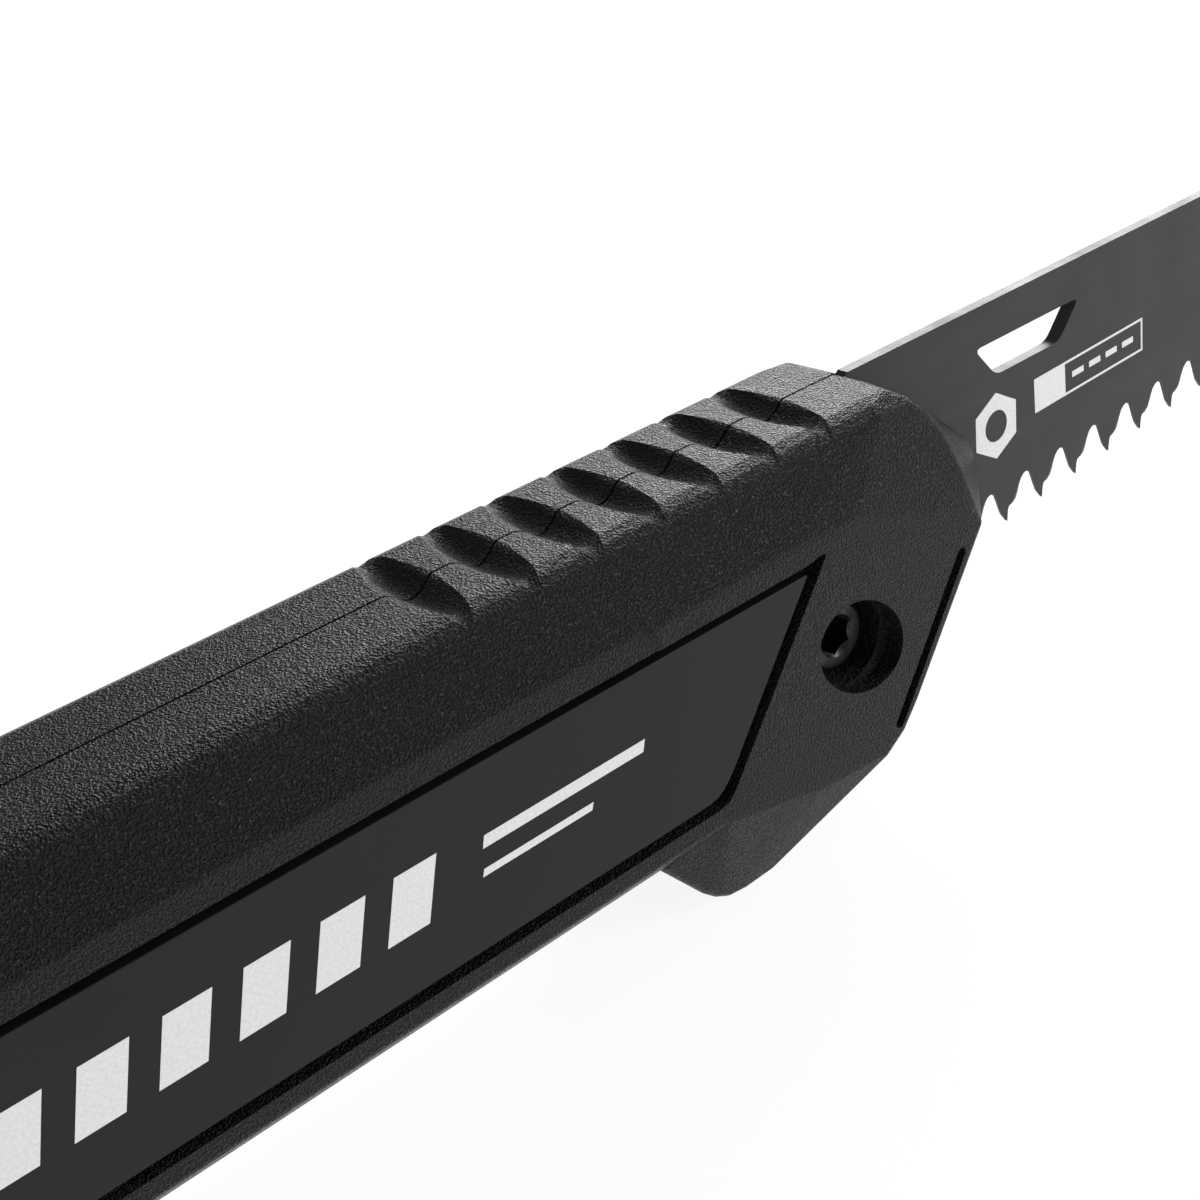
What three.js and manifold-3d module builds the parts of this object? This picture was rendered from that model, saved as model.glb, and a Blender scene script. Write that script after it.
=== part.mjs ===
// Jab saw for plasterboard: a stiff pointed blade clamped in the front of a two-shell plastic handle.
// Millimetres. X runs from the butt of the handle to the tip of the blade, Z is up (teeth down) and
// Y is across the thickness. The drawing origin is the axis of the blade clamp screw on the mid-plane;
// the exported group is moved so that its origin is the middle of the base.
import * as THREE from 'three';
import { mergeVertices } from 'three/addons/utils/BufferGeometryUtils.js';
import { ConvexGeometry } from 'three/addons/geometries/ConvexGeometry.js';
import Module from 'manifold-3d';

const wasm = await Module();
wasm.setup();

// ---- Overall sizes ----
const HALF_WIDTH = 13.4;
const BUTT_X = -129;
const TIP_X = 185;
const BASE_Z = -23.4;
const CROWN_Z = 23.8;
const SEAM = 0.15;
const GAP = 0.3;

// ---- Handle section: distance from the mid-plane, height ----
const FACET_TOP = 15.8;
const FACET_BOTTOM = -10.8;
const CROWN = [[0, CROWN_Z], [5.5, CROWN_Z], [7.2, 23.75], [8.5, 23.2], [9.4, 22.4]];
const UNDERSIDE = [[10.2, -14.2], [8.6, -14.9], [0, -15]];

// ---- Thumb scoops across the top ----
const SCOOP_COUNT = 7;
const SCOOP_PITCH = 7.7;
const SCOOP_FIRST_X = 1.7;
const SCOOP_RADIUS = 3;
const SCOOP_HALF_LENGTH = 10.8;
const SCOOP_FLOOR = 22.2;

// ---- Side panels and the groove around them ----
const PANEL_TOP = 11.9;
const PANEL_BOTTOM = -7.45;
const PANEL_REAR = -108.45;
const POCKET_TOP = 12.95;
const POCKET_BOTTOM = -8.7;
const POCKET_REAR = -109.5;
const PANEL_FACE = 13.3;
const PANEL_BACK = 11.9;
const PANEL_POCKET = 11.6;

// ---- Narrow groove beside the nose ----
const NOSE_GROOVE = { from: [16.4, 4], to: [5, -12.3], width: 1.35, depth: 1.1 };

// ---- Blade ----
const BLADE_HALF = 0.7;
const SPINE_Z = 23.6;
const TOOTH_PITCH = 6.855;
const TOOTH_COUNT = 21;
const FIRST_TOOTH_X = 32.87;
const TOOTH_LINE_X = 39.72;
const TOOTH_LINE_Z = -5.98;
const TOOTH_LINE_SLOPE = 0.067;
const TANG_REAR = -36;
const TANG_TOP = 17.5;
const HEEL_Z = -6.9;

// ---- Blade clamp: M5 socket head cap screw, washer, sleeve and nut on the Y axis ----
// The right shell has a shallow oval recess, long axis up and to the rear, around a round counterbore.
const OVAL_RECESS = { long: 6.9, short: 5.15, tilt: 37, depth: 2 };
const COUNTERBORE_R = 4.95;
const CLAMP_FLOOR = 3.4;
const CLAMP_CLEARANCE_R = 2.9;
const SCREW_R = 2.5;
const HEAD = { r: 4.25, from: 4.7, to: 9.7, socketAcross: 4, socketDepth: 2.6, chamfer: 0.6 };
const WASHER = { inner: 2.8, outer: 4.6, from: 3.4 + GAP, to: 4.4 };
const SCREW_TIP = 11.3;
const BUSH = { inner: 2.8, outer: 4, half: 2 };
const NUT = { across: 8, from: 3.4 + GAP, to: 7.7, bore: 2.8 };

// ---- Pins through the tang, dowels between the shells and the shell screws: x, z ----
const TANG_PINS = { front: [-16, 10.5], rear: [-29, 2.5] };
const TANG_PIN = { r: 2, half: 4 };
const DOWELS = { front: [-57, 10], rear: [-95, -6] };
const DOWEL = { r: 1.5, half: 5 };
const SHELL_SCREWS = [[-12.5, -8.7], [-40, 6.5], [-64, -2.5], [-85, 6.5], [-102, 3]];
const SHELL_SCREW = { head: 2.9, seat: 9.5, headTop: 11.4, shank: 1.5, tip: -6, bore: 3.3, recess: 1.2 };
const BOSS_R = 4.2;

// ---- Hanging hole near the butt ----
const EYELET = { x: -117.5, z: 2, inner: 3.5, outer: 4.7, flange: 6, face: 13.1, flangeThickness: 0.8 };

// ---- Hollow of each shell ----
const HOLLOW = [[-1, -11.7], [6.8, -11.7], [8.9, -9.6], [8.9, 14.2], [5.4, 19.2], [-1, 19.8]];
const HOLLOW_BAYS = [[-50, -39], [-73, -51.6], [-93, -74.6], [-110, -94.6]];

const ROUND = 40;

// ---- Materials ----
const shellPlastic = new THREE.MeshStandardMaterial({ color: 0x242427, roughness: 0.72, metalness: 0 });
const panelPlastic = new THREE.MeshStandardMaterial({ color: 0x2c2c2e, roughness: 0.42, metalness: 0 });
const bladeSteel = new THREE.MeshStandardMaterial({ color: 0x3b3b3c, roughness: 0.45, metalness: 0.6 });
const blackSteel = new THREE.MeshStandardMaterial({ color: 0x1a1a1c, roughness: 0.38, metalness: 0.8 });
const brightSteel = new THREE.MeshStandardMaterial({ color: 0xa8a9ab, roughness: 0.35, metalness: 1 });

// ---- Conversions between three.js geometry and solids ----
function toSolid(geometry) {
  const bare = geometry.clone();
  bare.deleteAttribute('normal');
  bare.deleteAttribute('uv');
  const merged = mergeVertices(bare, 1e-4);
  const vertProperties = Float32Array.from(merged.attributes.position.array);
  const triVerts = Uint32Array.from(merged.index.array);
  return new wasm.Manifold(new wasm.Mesh({ numProp: 3, vertProperties, triVerts }));
}

function toGeometry(solid) {
  const mesh = solid.getMesh();
  const geometry = new THREE.BufferGeometry();
  geometry.setAttribute('position', new THREE.BufferAttribute(Float32Array.from(mesh.vertProperties), 3));
  geometry.setIndex(Array.from(mesh.triVerts));
  geometry.computeVertexNormals();
  return geometry;
}

// ---- Building blocks ----
// A side-view outline (x, z) made solid between two values of y.
function sidePlate(outline, y0, y1, holes = []) {
  const shape = new THREE.Shape(outline.map(([x, z]) => new THREE.Vector2(x, z)));
  for (const hole of holes) {
    shape.holes.push(hole);
  }
  const depth = Math.abs(y1 - y0);
  const geometry = new THREE.ExtrudeGeometry(shape, { depth, bevelEnabled: false, curveSegments: 10 });
  geometry.rotateX(Math.PI / 2);
  geometry.translate(0, Math.max(y0, y1), 0);
  return geometry;
}

// A section (distance from the mid-plane, z) made solid between two values of x, on one side.
function lengthBar(section, x0, x1, side) {
  const outline = section.map(([h, z]) => new THREE.Vector2(side * h, z));
  const geometry = new THREE.ExtrudeGeometry(new THREE.Shape(outline), { depth: x1 - x0, bevelEnabled: false });
  const alongX = new THREE.Matrix4().set(0, 0, 1, x0, 1, 0, 0, 0, 0, 1, 0, 0, 0, 0, 0, 1);
  return geometry.applyMatrix4(alongX);
}

// A round bar across the saw, between two values of y.
function crossBar(x, z, radius, y0, y1, segments = ROUND) {
  const geometry = new THREE.CylinderGeometry(radius, radius, Math.abs(y1 - y0), segments);
  return geometry.translate(x, (y0 + y1) / 2, z);
}

// A turned piece whose profile (radius, y) closes on the axis or on itself.
function turned(profile, x = 0, z = 0, segments = ROUND) {
  const points = profile.map(([r, y]) => new THREE.Vector2(r, y));
  return new THREE.LatheGeometry(points, segments).translate(x, 0, z);
}

function ring(inner, outer, y0, y1, x = 0, z = 0) {
  return turned([[inner, y0], [outer, y0], [outer, y1], [inner, y1], [inner, y0]], x, z);
}

function hexBar(across, y0, y1) {
  const geometry = new THREE.CylinderGeometry(across / Math.sqrt(3), across / Math.sqrt(3), Math.abs(y1 - y0), 6);
  return geometry.translate(0, (y0 + y1) / 2, 0);
}

function circlePath(x, z, radius) {
  const path = new THREE.Path();
  path.absarc(x, z, radius, 0, Math.PI * 2, true);
  return path;
}

// Moves every edge of an anticlockwise outline outwards by the distance.
function grow(outline, distance) {
  const edges = outline.map((point, i) => {
    const next = outline[(i + 1) % outline.length];
    const length = Math.hypot(next[0] - point[0], next[1] - point[1]);
    const normal = [(next[1] - point[1]) / length, (point[0] - next[0]) / length];
    return { normal, offset: normal[0] * point[0] + normal[1] * point[1] + distance };
  });
  return edges.map((edge, i) => {
    const last = edges[(i + edges.length - 1) % edges.length];
    const det = last.normal[0] * edge.normal[1] - last.normal[1] * edge.normal[0];
    const x = (last.offset * edge.normal[1] - edge.offset * last.normal[1]) / det;
    const z = (last.normal[0] * edge.offset - edge.normal[0] * last.offset) / det;
    return [x, z];
  });
}

// ---- Blade ----
// One tooth from its tip: a small step behind the tip, then a round gullet and an upright front edge.
const TOOTH = [
  [0, 0], [0.2, 0.8], [0.49, 1.39], [0.93, 1.62], [1.7, 1.66], [2.3, 2.02], [2.7, 2.8], [2.99, 3.5],
  [3.4, 4.2], [4, 4.65], [4.7, 4.8], [5.4, 4.65], [5.95, 4.25], [6.35, 3.6], [6.55, 2.9], [6.72, 1.8],
];

function toothLine(x) {
  return TOOTH_LINE_Z + (x - TOOTH_LINE_X) * TOOTH_LINE_SLOPE;
}

function bladeOutline() {
  const outline = [[TANG_REAR, 1], [TANG_REAR + 2.5, -3], [-8.5, -3], [-6, HEEL_Z], [28, HEEL_Z]];
  outline.push([28.8, -5.2], [29.3, -3.5], [29.9, -2.7], [30.8, -2.4], [31.7, -2.8], [32.3, -3.9], [32.65, -5.2]);
  for (let i = 0; i < TOOTH_COUNT; i += 1) {
    const x = FIRST_TOOTH_X + i * TOOTH_PITCH;
    for (const [dx, dz] of TOOTH) {
      outline.push([x + dx, toothLine(x + dx) + dz]);
    }
  }
  const lastTooth = FIRST_TOOTH_X + TOOTH_COUNT * TOOTH_PITCH;
  outline.push([lastTooth, toothLine(lastTooth)], [TIP_X, toothLine(TIP_X)]);
  outline.push([172.5, 13.6], [163.6, 20.8], [160.6, 22.8], [157, SPINE_Z]);
  outline.push([13.8, SPINE_Z], [12.8, 22.8], [12.6, 19.4], [8.6, TANG_TOP]);
  outline.push([TANG_REAR + 2.5, TANG_TOP], [TANG_REAR, 14]);
  return outline;
}

function windowPath() {
  const corners = [[34.9, 18.5], [54.5, 18.5], [50.6, 14.15], [38.5, 14.15]];
  const radius = 1.2;
  const path = new THREE.Path();
  corners.forEach(([x, z], i) => {
    const [px, pz] = corners[(i + 3) % 4];
    const [nx, nz] = corners[(i + 1) % 4];
    const before = Math.hypot(px - x, pz - z);
    const after = Math.hypot(nx - x, nz - z);
    const start = [x + (px - x) * radius / before, z + (pz - z) * radius / before];
    const end = [x + (nx - x) * radius / after, z + (nz - z) * radius / after];
    if (i === 0) {
      path.moveTo(start[0], start[1]);
    } else {
      path.lineTo(start[0], start[1]);
    }
    path.quadraticCurveTo(x, z, end[0], end[1]);
  });
  path.closePath();
  return path;
}

function makeBlade() {
  const holes = [windowPath(), circlePath(0, 0, BUSH.outer + GAP)];
  for (const [x, z] of Object.values(TANG_PINS)) {
    holes.push(circlePath(x, z, TANG_PIN.r + GAP));
  }
  return sidePlate(bladeOutline(), -BLADE_HALF, BLADE_HALF, holes);
}

// ---- Shells ----
// Flat outer face of the nose and guard: x, z.
const FACET_FRONT = [
  [-28.4, FACET_TOP], [-7.7, FACET_TOP], [1.1, 15.1], [17, 9.1], [18.9, 7.7], [20, 6.1],
  [8, -10.8], [5.7, -13.6], [3, -15.3], [-7.5, -14.2], [-20.8, FACET_BOTTOM],
];
// Rim where the slanted side turns into the front: x, distance from the mid-plane, z.
const NOSE_RIM = [
  [12.6, 7.3, 23.5], [15, 8.4, 21.9], [16.3, 9.2, 20.1], [17.4, 9.8, 18.2], [17.9, 10.6, 16.5],
  [18.4, 11.5, 14.3], [18.9, 12.3, 11.7], [19.4, 13, 8.8],
];
// Outline of the nose beside the blade: x, z.
const NOSE_MIDDLE = [
  [12.4, 23.7], [14.6, 22.6], [20.5, 18], [28.6, 10.8], [31, 9.3], [32.2, 7.3], [32.9, 4.6], [32.3, 1.4],
  [21.2, -11.7], [16, -16],
];
const NOSE_MIDDLE_HALF = 2;
// Lower edge of the guard: x, z.
const GUARD = [
  [5, -17.6], [-6.2, -21.1], [-14, -23.2], [-17.7, BASE_Z], [-19.9, -23.1], [-21.5, -22.2], [-22.9, -20.9],
  [-26.2, -16.9], [-28.4, -14.2],
];
const GUARD_HALF = 10.4;
// Butt: x, distance from the mid-plane, z.
const BUTT = [
  [-121, HALF_WIDTH, 12.5], [-124.5, HALF_WIDTH, 8], [-124.5, HALF_WIDTH, -4], [-121, HALF_WIDTH, -8.5],
  [-120.5, 8.6, 20.6], [-126.4, 8.6, 14], [BUTT_X, 8.6, 6], [BUTT_X, 8.6, -4.5], [-126, 8.6, -11.5],
  [-120.5, 8.6, -14.9], [-120.5, 0, 22.4], [-126.8, 0, 15], [BUTT_X, 0, 7], [BUTT_X, 0, -5],
  [-126.4, 0, -12], [-121, 0, -15],
];

function hull(points, side) {
  return toSolid(new ConvexGeometry(points.map(([x, h, z]) => new THREE.Vector3(x, side * h, z))));
}

function frontBlock(side) {
  const points = FACET_FRONT.map(([x, z]) => [x, HALF_WIDTH, z]);
  points.push(...NOSE_RIM);
  for (const [h, z] of CROWN) {
    points.push([-28.4, h, z], [9.4, h, z]);
  }
  for (const [x, z] of NOSE_MIDDLE) {
    points.push([x, 0, z], [x, NOSE_MIDDLE_HALF, z]);
  }
  for (const [x, z] of GUARD) {
    points.push([x, 0, z], [x, GUARD_HALF, z]);
  }
  return hull(points, side);
}

function rearBlock(side) {
  const section = [...CROWN, [HALF_WIDTH, FACET_TOP], [HALF_WIDTH, FACET_BOTTOM], ...UNDERSIDE];
  const points = [...BUTT];
  for (const [h, z] of section) {
    points.push([-22, h, z], [-116, h, z]);
  }
  return hull(points, side);
}

function hollow(side) {
  let bays = null;
  for (const [x0, x1] of HOLLOW_BAYS) {
    const bay = toSolid(lengthBar(side < 0 ? [...HOLLOW].reverse() : HOLLOW, x0, x1, side));
    bays = bays ? bays.add(bay) : bay;
  }
  for (const [x, z] of [...SHELL_SCREWS, ...Object.values(DOWELS)]) {
    bays = bays.subtract(toSolid(crossBar(x, z, BOSS_R, side * SEAM, side * HALF_WIDTH, 24)));
  }
  return bays;
}

// Side panel, and the pocket it lies in, which leaves a wider groove along the slanted front: x, z.
const PANEL_OUTLINE = [
  [-106.4, PANEL_BOTTOM], [-23.4, PANEL_BOTTOM], [-21.8, -7.2], [-20.7, -6.4], [-19.3, -4.9], [-6.6, PANEL_TOP],
  [-106.4, PANEL_TOP], [PANEL_REAR, 9.9], [PANEL_REAR, -5.7],
];
const POCKET_OUTLINE = [
  [-107.1, POCKET_BOTTOM], [-22.2, POCKET_BOTTOM], [-20.7, -8.4], [-19.8, -7.6], [-3.95, 13.15], [-4.9, 13.3],
  [-6.6, POCKET_TOP], [-107.1, POCKET_TOP], [POCKET_REAR, 10.4], [POCKET_REAR, -6.2],
];

function noseGrooveOutline() {
  const [x0, z0] = NOSE_GROOVE.from;
  const [x1, z1] = NOSE_GROOVE.to;
  const length = Math.hypot(x1 - x0, z1 - z0);
  const across = [(z1 - z0) / length * NOSE_GROOVE.width / 2, (x0 - x1) / length * NOSE_GROOVE.width / 2];
  return [
    [x0 - across[0], z0 - across[1]], [x1 - across[0], z1 - across[1]],
    [x1 + across[0], z1 + across[1]], [x0 + across[0], z0 + across[1]],
  ];
}

// Everything both shells have: blank, thumb scoops, seam face, blade slot, panel pocket and hollow.
function shellBlank(side) {
  const outside = side * (HALF_WIDTH + 1);
  const cuts = [
    crossBar(0, 0, BUSH.outer + GAP, 0, side * (BUSH.half + GAP)),
    crossBar(0, 0, CLAMP_CLEARANCE_R, 0, outside),
    sidePlate(POCKET_OUTLINE, side * PANEL_POCKET, outside),
    sidePlate(noseGrooveOutline(), side * (HALF_WIDTH - NOSE_GROOVE.depth), outside),
    crossBar(EYELET.x, EYELET.z, EYELET.outer + GAP, 0, outside),
    crossBar(EYELET.x, EYELET.z, EYELET.flange + GAP, side * (EYELET.face - EYELET.flangeThickness - GAP), outside),
    new THREE.BoxGeometry(400, 1, 100).translate(0, side * (SEAM - 0.5), 0),
    sidePlate(grow(tangClearance(), GAP), side * (BLADE_HALF + GAP), -side),
  ];
  for (let i = 0; i < SCOOP_COUNT; i += 1) {
    const scoop = new THREE.SphereGeometry(1, 32, 20);
    scoop.rotateX(Math.PI / 2);
    scoop.scale(SCOOP_RADIUS, SCOOP_HALF_LENGTH, SCOOP_RADIUS);
    cuts.push(scoop.translate(SCOOP_FIRST_X - i * SCOOP_PITCH, 0, SCOOP_FLOOR + SCOOP_RADIUS));
  }
  for (const [x, z] of Object.values(TANG_PINS)) {
    cuts.push(crossBar(x, z, TANG_PIN.r + GAP, 0, side * (TANG_PIN.half + GAP), 24));
  }
  for (const [x, z] of Object.values(DOWELS)) {
    cuts.push(crossBar(x, z, DOWEL.r + GAP, 0, side * (DOWEL.half + GAP), 24));
  }
  let shell = frontBlock(side).add(rearBlock(side)).subtract(hollow(side));
  for (const cut of cuts) {
    shell = shell.subtract(toSolid(cut));
  }
  return shell;
}

// Room for the blade inside the handle: its outline without the teeth.
function tangClearance() {
  return [
    [TANG_REAR, 1], [TANG_REAR + 2.5, -3], [-8.5, -3], [-6, HEEL_Z], [60, HEEL_Z],
    [60, SPINE_Z + 3], [12.8, SPINE_Z + 3], [12.6, 19.4], [8.6, TANG_TOP], [TANG_REAR + 2.5, TANG_TOP],
    [TANG_REAR, 14],
  ];
}

function ovalRecess() {
  const { long, short, tilt, depth } = OVAL_RECESS;
  const geometry = new THREE.CylinderGeometry(1, 1, depth + 1, 64);
  geometry.scale(long, 1, short);
  geometry.rotateY(THREE.MathUtils.degToRad(tilt));
  return geometry.translate(0, -HALF_WIDTH + (depth - 1) / 2, 0);
}

function makeRightShell() {
  let shell = shellBlank(-1).subtract(toSolid(ovalRecess()));
  shell = shell.subtract(toSolid(crossBar(0, 0, COUNTERBORE_R, -CLAMP_FLOOR, -HALF_WIDTH - 1, 64)));
  for (const [x, z] of SHELL_SCREWS) {
    shell = shell.subtract(toSolid(crossBar(x, z, SHELL_SCREW.shank + GAP, 0, SHELL_SCREW.tip - GAP, 24)));
  }
  return toGeometry(shell);
}

function makeLeftShell() {
  let shell = shellBlank(1);
  shell = shell.subtract(toSolid(hexBar(NUT.across + 2 * GAP, CLAMP_FLOOR, HALF_WIDTH + 1)));
  for (const [x, z] of SHELL_SCREWS) {
    shell = shell.subtract(toSolid(crossBar(x, z, SHELL_SCREW.shank + GAP, 0, HALF_WIDTH, 24)));
    shell = shell.subtract(toSolid(crossBar(x, z, SHELL_SCREW.bore, SHELL_SCREW.seat - GAP, HALF_WIDTH + 1, 32)));
  }
  return toGeometry(shell);
}

// ---- Side panels ----
function makePanel(side, screwHoles) {
  const holes = screwHoles.map(([x, z]) => circlePath(x, z, SHELL_SCREW.bore));
  return sidePlate(PANEL_OUTLINE, side * PANEL_BACK, side * PANEL_FACE, holes);
}

// ---- Fasteners ----
function makeClampScrew() {
  const { r, from, to, chamfer } = HEAD;
  const profile = [
    [0, -to], [r - chamfer, -to], [r, -to + chamfer], [r, -from], [SCREW_R, -from],
    [SCREW_R, SCREW_TIP - 0.6], [SCREW_R - 0.6, SCREW_TIP], [0, SCREW_TIP],
  ];
  const socket = hexBar(HEAD.socketAcross, -to - 1, -to + HEAD.socketDepth);
  return toGeometry(toSolid(turned(profile)).subtract(toSolid(socket)));
}

function makeNut() {
  const nut = toSolid(hexBar(NUT.across, NUT.from, NUT.to));
  return toGeometry(nut.subtract(toSolid(crossBar(0, 0, NUT.bore, 0, NUT.to + 1))));
}

function makePin(radius, half, x, z) {
  const chamfer = 0.3;
  const profile = [
    [0, -half], [radius - chamfer, -half], [radius, -half + chamfer], [radius, half - chamfer],
    [radius - chamfer, half], [0, half],
  ];
  return turned(profile, x, z, 24);
}

function makeShellScrew(x, z) {
  const { head, seat, headTop, shank, tip } = SHELL_SCREW;
  const profile = [
    [0, tip], [0.3, tip], [shank, tip + 1.8], [shank, seat], [head, seat], [head, headTop - 0.8],
    [head - 0.7, headTop], [0, headTop],
  ];
  const star = new THREE.CylinderGeometry(SHELL_SCREW.recess, SHELL_SCREW.recess, 3, 6);
  star.translate(x, headTop + 0.3, z);
  return toGeometry(toSolid(turned(profile, x, z, 28)).subtract(toSolid(star)));
}

function makeEyelet() {
  const { x, z, inner, outer, flange, face, flangeThickness } = EYELET;
  const profile = [
    [inner, -face], [flange, -face], [flange, -face + flangeThickness], [outer, -face + flangeThickness],
    [outer, face], [inner, face], [inner, -face],
  ];
  return turned(profile, x, z);
}

function makeEyeletWasher() {
  const { x, z, outer, flange, face, flangeThickness } = EYELET;
  return ring(outer + GAP, flange, face - flangeThickness, face, x, z);
}

// ---- Assembly ----
const saw = new THREE.Group();

function addPiece(name, geometry, material) {
  const mesh = new THREE.Mesh(geometry, material);
  mesh.name = name;
  saw.add(mesh);
}

addPiece('blade', makeBlade(), bladeSteel);
addPiece('right_shell', makeRightShell(), shellPlastic);
addPiece('left_shell', makeLeftShell(), shellPlastic);
addPiece('right_label_panel', makePanel(-1, []), panelPlastic);
addPiece('left_label_panel', makePanel(1, SHELL_SCREWS.slice(1)), panelPlastic);
addPiece('blade_clamp_screw', makeClampScrew(), blackSteel);
addPiece('blade_clamp_washer', ring(WASHER.inner, WASHER.outer, -WASHER.to, -WASHER.from), brightSteel);
addPiece('blade_spacer_bush', ring(BUSH.inner, BUSH.outer, -BUSH.half, BUSH.half), brightSteel);
addPiece('blade_clamp_nut', makeNut(), brightSteel);
for (const [place, [x, z]] of Object.entries(TANG_PINS)) {
  addPiece(`tang_pin_${place}`, makePin(TANG_PIN.r, TANG_PIN.half, x, z), brightSteel);
}
for (const [place, [x, z]] of Object.entries(DOWELS)) {
  addPiece(`alignment_dowel_${place}`, makePin(DOWEL.r, DOWEL.half, x, z), brightSteel);
}
SHELL_SCREWS.forEach(([x, z], i) => {
  addPiece(`shell_screw_${i + 1}`, makeShellScrew(x, z), blackSteel);
});
addPiece('lanyard_eyelet', makeEyelet(), brightSteel);
addPiece('lanyard_eyelet_washer', makeEyeletWasher(), brightSteel);

saw.position.set(-(BUTT_X + TIP_X) / 2, 0, -BASE_Z);

export default saw;
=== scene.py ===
import math

import bmesh
import bpy
import numpy as np
from mathutils import Matrix, Vector
from mathutils.geometry import tessellate_polygon


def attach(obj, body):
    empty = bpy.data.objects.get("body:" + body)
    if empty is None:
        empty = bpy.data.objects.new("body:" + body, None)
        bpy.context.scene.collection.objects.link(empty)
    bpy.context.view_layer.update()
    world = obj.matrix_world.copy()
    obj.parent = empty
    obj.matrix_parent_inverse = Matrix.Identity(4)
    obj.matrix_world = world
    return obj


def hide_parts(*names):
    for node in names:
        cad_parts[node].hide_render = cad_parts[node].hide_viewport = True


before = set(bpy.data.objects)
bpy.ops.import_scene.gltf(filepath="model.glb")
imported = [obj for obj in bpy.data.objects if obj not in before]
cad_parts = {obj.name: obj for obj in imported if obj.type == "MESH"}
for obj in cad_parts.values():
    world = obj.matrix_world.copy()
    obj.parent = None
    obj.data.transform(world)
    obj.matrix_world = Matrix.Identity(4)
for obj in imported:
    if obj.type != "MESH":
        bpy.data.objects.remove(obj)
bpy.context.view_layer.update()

# Drawing coordinates are millimetres from the clamp screw's axis on the mid-plane.
# The row frame is metres from the middle of the base.
MM = 0.001
OFFSET_X = -28.0
OFFSET_Z = 23.4

HALF_WIDTH = 13.4
BUTT_X = -129.0
TIP_X = 185.0
FACET_TOP = 15.8
FACET_BOTTOM = -10.8
SEAM = 0.15
BLADE_HALF = 0.7
SPINE_Z = 23.6
GAP = 0.3


def row(x, y, z):
    return Vector(((x + OFFSET_X) * MM, y * MM, (z + OFFSET_Z) * MM))


# ---------------------------------------------------------------- mesh helpers
def new_object(name, mesh):
    obj = bpy.data.objects.new(name, mesh)
    bpy.context.scene.collection.objects.link(obj)
    return obj


def mesh_from_bmesh(name, bm):
    mesh = bpy.data.meshes.new(name)
    bm.to_mesh(mesh)
    bm.free()
    return mesh


def drop(obj):
    mesh = obj.data
    bpy.data.objects.remove(obj)
    if mesh.users == 0:
        bpy.data.meshes.remove(mesh)


def hull_normals(points):
    """Convex hull of the points, and the outward face normals that meet at each of its corners."""
    bm = bmesh.new()
    for p in points:
        bm.verts.new(p)
    bmesh.ops.remove_doubles(bm, verts=bm.verts, dist=1e-4)
    bmesh.ops.convex_hull(bm, input=bm.verts)
    bmesh.ops.recalc_face_normals(bm, faces=bm.faces)
    corners = []
    for v in bm.verts:
        if not v.link_faces:
            continue
        normals = []
        for f in v.link_faces:
            if f.calc_area() > 1e-5 and all(f.normal.dot(n) < 0.99995 for n in normals):
                normals.append(f.normal.copy())
        if normals:
            corners.append((v.co.copy(), normals))
    bm.free()
    return corners


def sphere_directions(level):
    bm = bmesh.new()
    bmesh.ops.create_icosphere(bm, subdivisions=level, radius=1.0)
    directions = [v.co.normalized() for v in bm.verts]
    bm.free()
    return directions


DIRECTIONS = sphere_directions(4)


def rounded_hull(name, points, radius):
    """The convex hull of the points with every edge rounded to the radius, its flat faces kept in place."""
    bm = bmesh.new()
    for corner, normals in hull_normals(points):
        a = np.array([n[:] for n in normals])
        shift, *_ = np.linalg.lstsq(a, -radius * np.ones(len(normals)), rcond=0.05)
        centre = corner + Vector(shift)
        mean = sum(normals, Vector()).normalized()
        reach = min(mean.dot(n) for n in normals) - 0.05
        for d in normals + [d for d in DIRECTIONS if d.dot(mean) >= reach]:
            bm.verts.new(centre + radius * d)
    bmesh.ops.remove_doubles(bm, verts=bm.verts, dist=1e-3)
    bmesh.ops.convex_hull(bm, input=bm.verts)
    loose = [v for v in bm.verts if not v.link_faces]
    bmesh.ops.delete(bm, geom=loose, context="VERTS")
    bmesh.ops.recalc_face_normals(bm, faces=bm.faces)
    bmesh.ops.dissolve_limit(bm, angle_limit=math.radians(0.4), verts=bm.verts, edges=bm.edges)
    return new_object(name, mesh_from_bmesh(name, bm))


def plate(name, outline, y0, y1, holes=()):
    """A side-view outline (x, z) made solid between y0 and y1."""
    loops = [list(outline)] + [list(h) for h in holes]
    flat = [p for loop in loops for p in loop]
    triangles = tessellate_polygon([[Vector((x, z, 0)) for x, z in loop] for loop in loops])
    bm = bmesh.new()
    low = [bm.verts.new((x, min(y0, y1), z)) for x, z in flat]
    high = [bm.verts.new((x, max(y0, y1), z)) for x, z in flat]
    for a, b, c in triangles:
        bm.faces.new((low[a], low[b], low[c]))
        bm.faces.new((high[c], high[b], high[a]))
    start = 0
    for loop in loops:
        n = len(loop)
        for i in range(n):
            a, b = start + i, start + (i + 1) % n
            bm.faces.new((low[a], low[b], high[b], high[a]))
        start += n
    bmesh.ops.recalc_face_normals(bm, faces=bm.faces)
    bmesh.ops.dissolve_limit(bm, angle_limit=math.radians(0.4), verts=bm.verts, edges=bm.edges)
    return new_object(name, mesh_from_bmesh(name, bm))


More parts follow.
